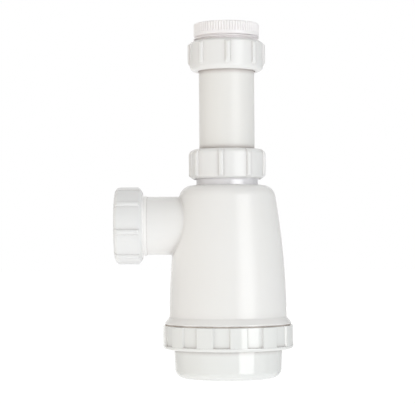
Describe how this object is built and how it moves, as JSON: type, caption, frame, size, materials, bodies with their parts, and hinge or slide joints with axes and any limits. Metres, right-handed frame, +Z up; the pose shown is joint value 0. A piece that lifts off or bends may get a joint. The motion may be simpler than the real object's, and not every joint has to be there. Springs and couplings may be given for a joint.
{
  "type": "bottle trap",
  "caption": "White plastic bottle trap: telescopic inlet tube with ribbed union nuts, flared bottle with a side outlet, and a screwed cleanout cup.",
  "frame": {"origin": "middle of the cup's flat base, on the axis shared by bottle, tube and bush", "axes": "+Z up along the inlet tube, -X along the outlet branch"},
  "size_m": [0.128, 0.0934, 0.2549],
  "materials": {
    "bottle_white": "satin moulded",
    "cup_white": "glossy moulded",
    "tube_white": "satin drawn",
    "nut_white": "satin moulded",
    "bush_white": "satin moulded",
    "ring_white": "matte moulded",
    "seal_rubber": "matte rubber"
  },
  "bodies": {
    "bottle": {"bottle_body": "bottle_white", "dip_tube": "bottle_white", "outlet_collar": "bottle_white"},
    "tube": {"inlet_tube": "tube_white", "inlet_washer": "seal_rubber"},
    "inlet_nut": {"inlet_nut": "nut_white"},
    "bush": {"reducer_bush": "bush_white", "bush_washer": "seal_rubber"},
    "neck_rings": {"neck_slip_ring": "ring_white", "neck_seal": "seal_rubber"},
    "neck_nut": {"neck_nut": "nut_white"},
    "outlet_rings": {"outlet_slip_ring": "ring_white", "outlet_seal": "seal_rubber"},
    "outlet_nut": {"outlet_nut": "nut_white"},
    "gasket": {"cup_gasket": "seal_rubber"},
    "cup": {"cleanout_cup": "cup_white"}
  },
  "joints": [
    {"name": "tube_slide", "type": "slide", "parent": "bottle", "child": "tube", "axis": [0, 0, 1], "range_m": [-0.04, 0.03]},
    {"name": "inlet_nut_turn", "type": "hinge", "parent": "tube", "child": "inlet_nut", "pos_m": [0, 0, 0.232], "axis": [0, 0, -1], "range_deg": [0, 1980]},
    {"name": "bush_rise", "type": "slide", "parent": "tube", "child": "bush", "axis": [0, 0, 1], "range_m": [0, 0.01272]},
    {"name": "neck_rings_rise", "type": "slide", "parent": "bottle", "child": "neck_rings", "axis": [0, 0, 1], "range_m": [0, 0.01272]},
    {"name": "neck_nut_turn", "type": "hinge", "parent": "neck_rings", "child": "neck_nut", "pos_m": [0, 0, 0.154], "axis": [0, 0, 1], "range_deg": [0, 1980]},
    {"name": "outlet_rings_out", "type": "slide", "parent": "bottle", "child": "outlet_rings", "axis": [-1, 0, 0], "range_m": [0, 0.01272]},
    {"name": "outlet_nut_turn", "type": "hinge", "parent": "outlet_rings", "child": "outlet_nut", "pos_m": [-0.07, 0, 0.1092], "axis": [-1, 0, 0], "range_deg": [0, 1980]},
    {"name": "gasket_drop", "type": "slide", "parent": "bottle", "child": "gasket", "axis": [0, 0, -1], "range_m": [0, 0.01302]},
    {"name": "cup_turn", "type": "hinge", "parent": "gasket", "child": "cup", "pos_m": [0, 0, 0.03], "axis": [0, 0, -1], "range_deg": [0, 1170]}
  ],
  "couplings": [
    {"joint": "bush_rise", "follows": "inlet_nut_turn", "m_per_rad": 0.00036749},
    {"joint": "neck_rings_rise", "follows": "neck_nut_turn", "m_per_rad": 0.00036749},
    {"joint": "outlet_rings_out", "follows": "outlet_nut_turn", "m_per_rad": 0.00036749},
    {"joint": "gasket_drop", "follows": "cup_turn", "m_per_rad": 0.00063662}
  ]
}
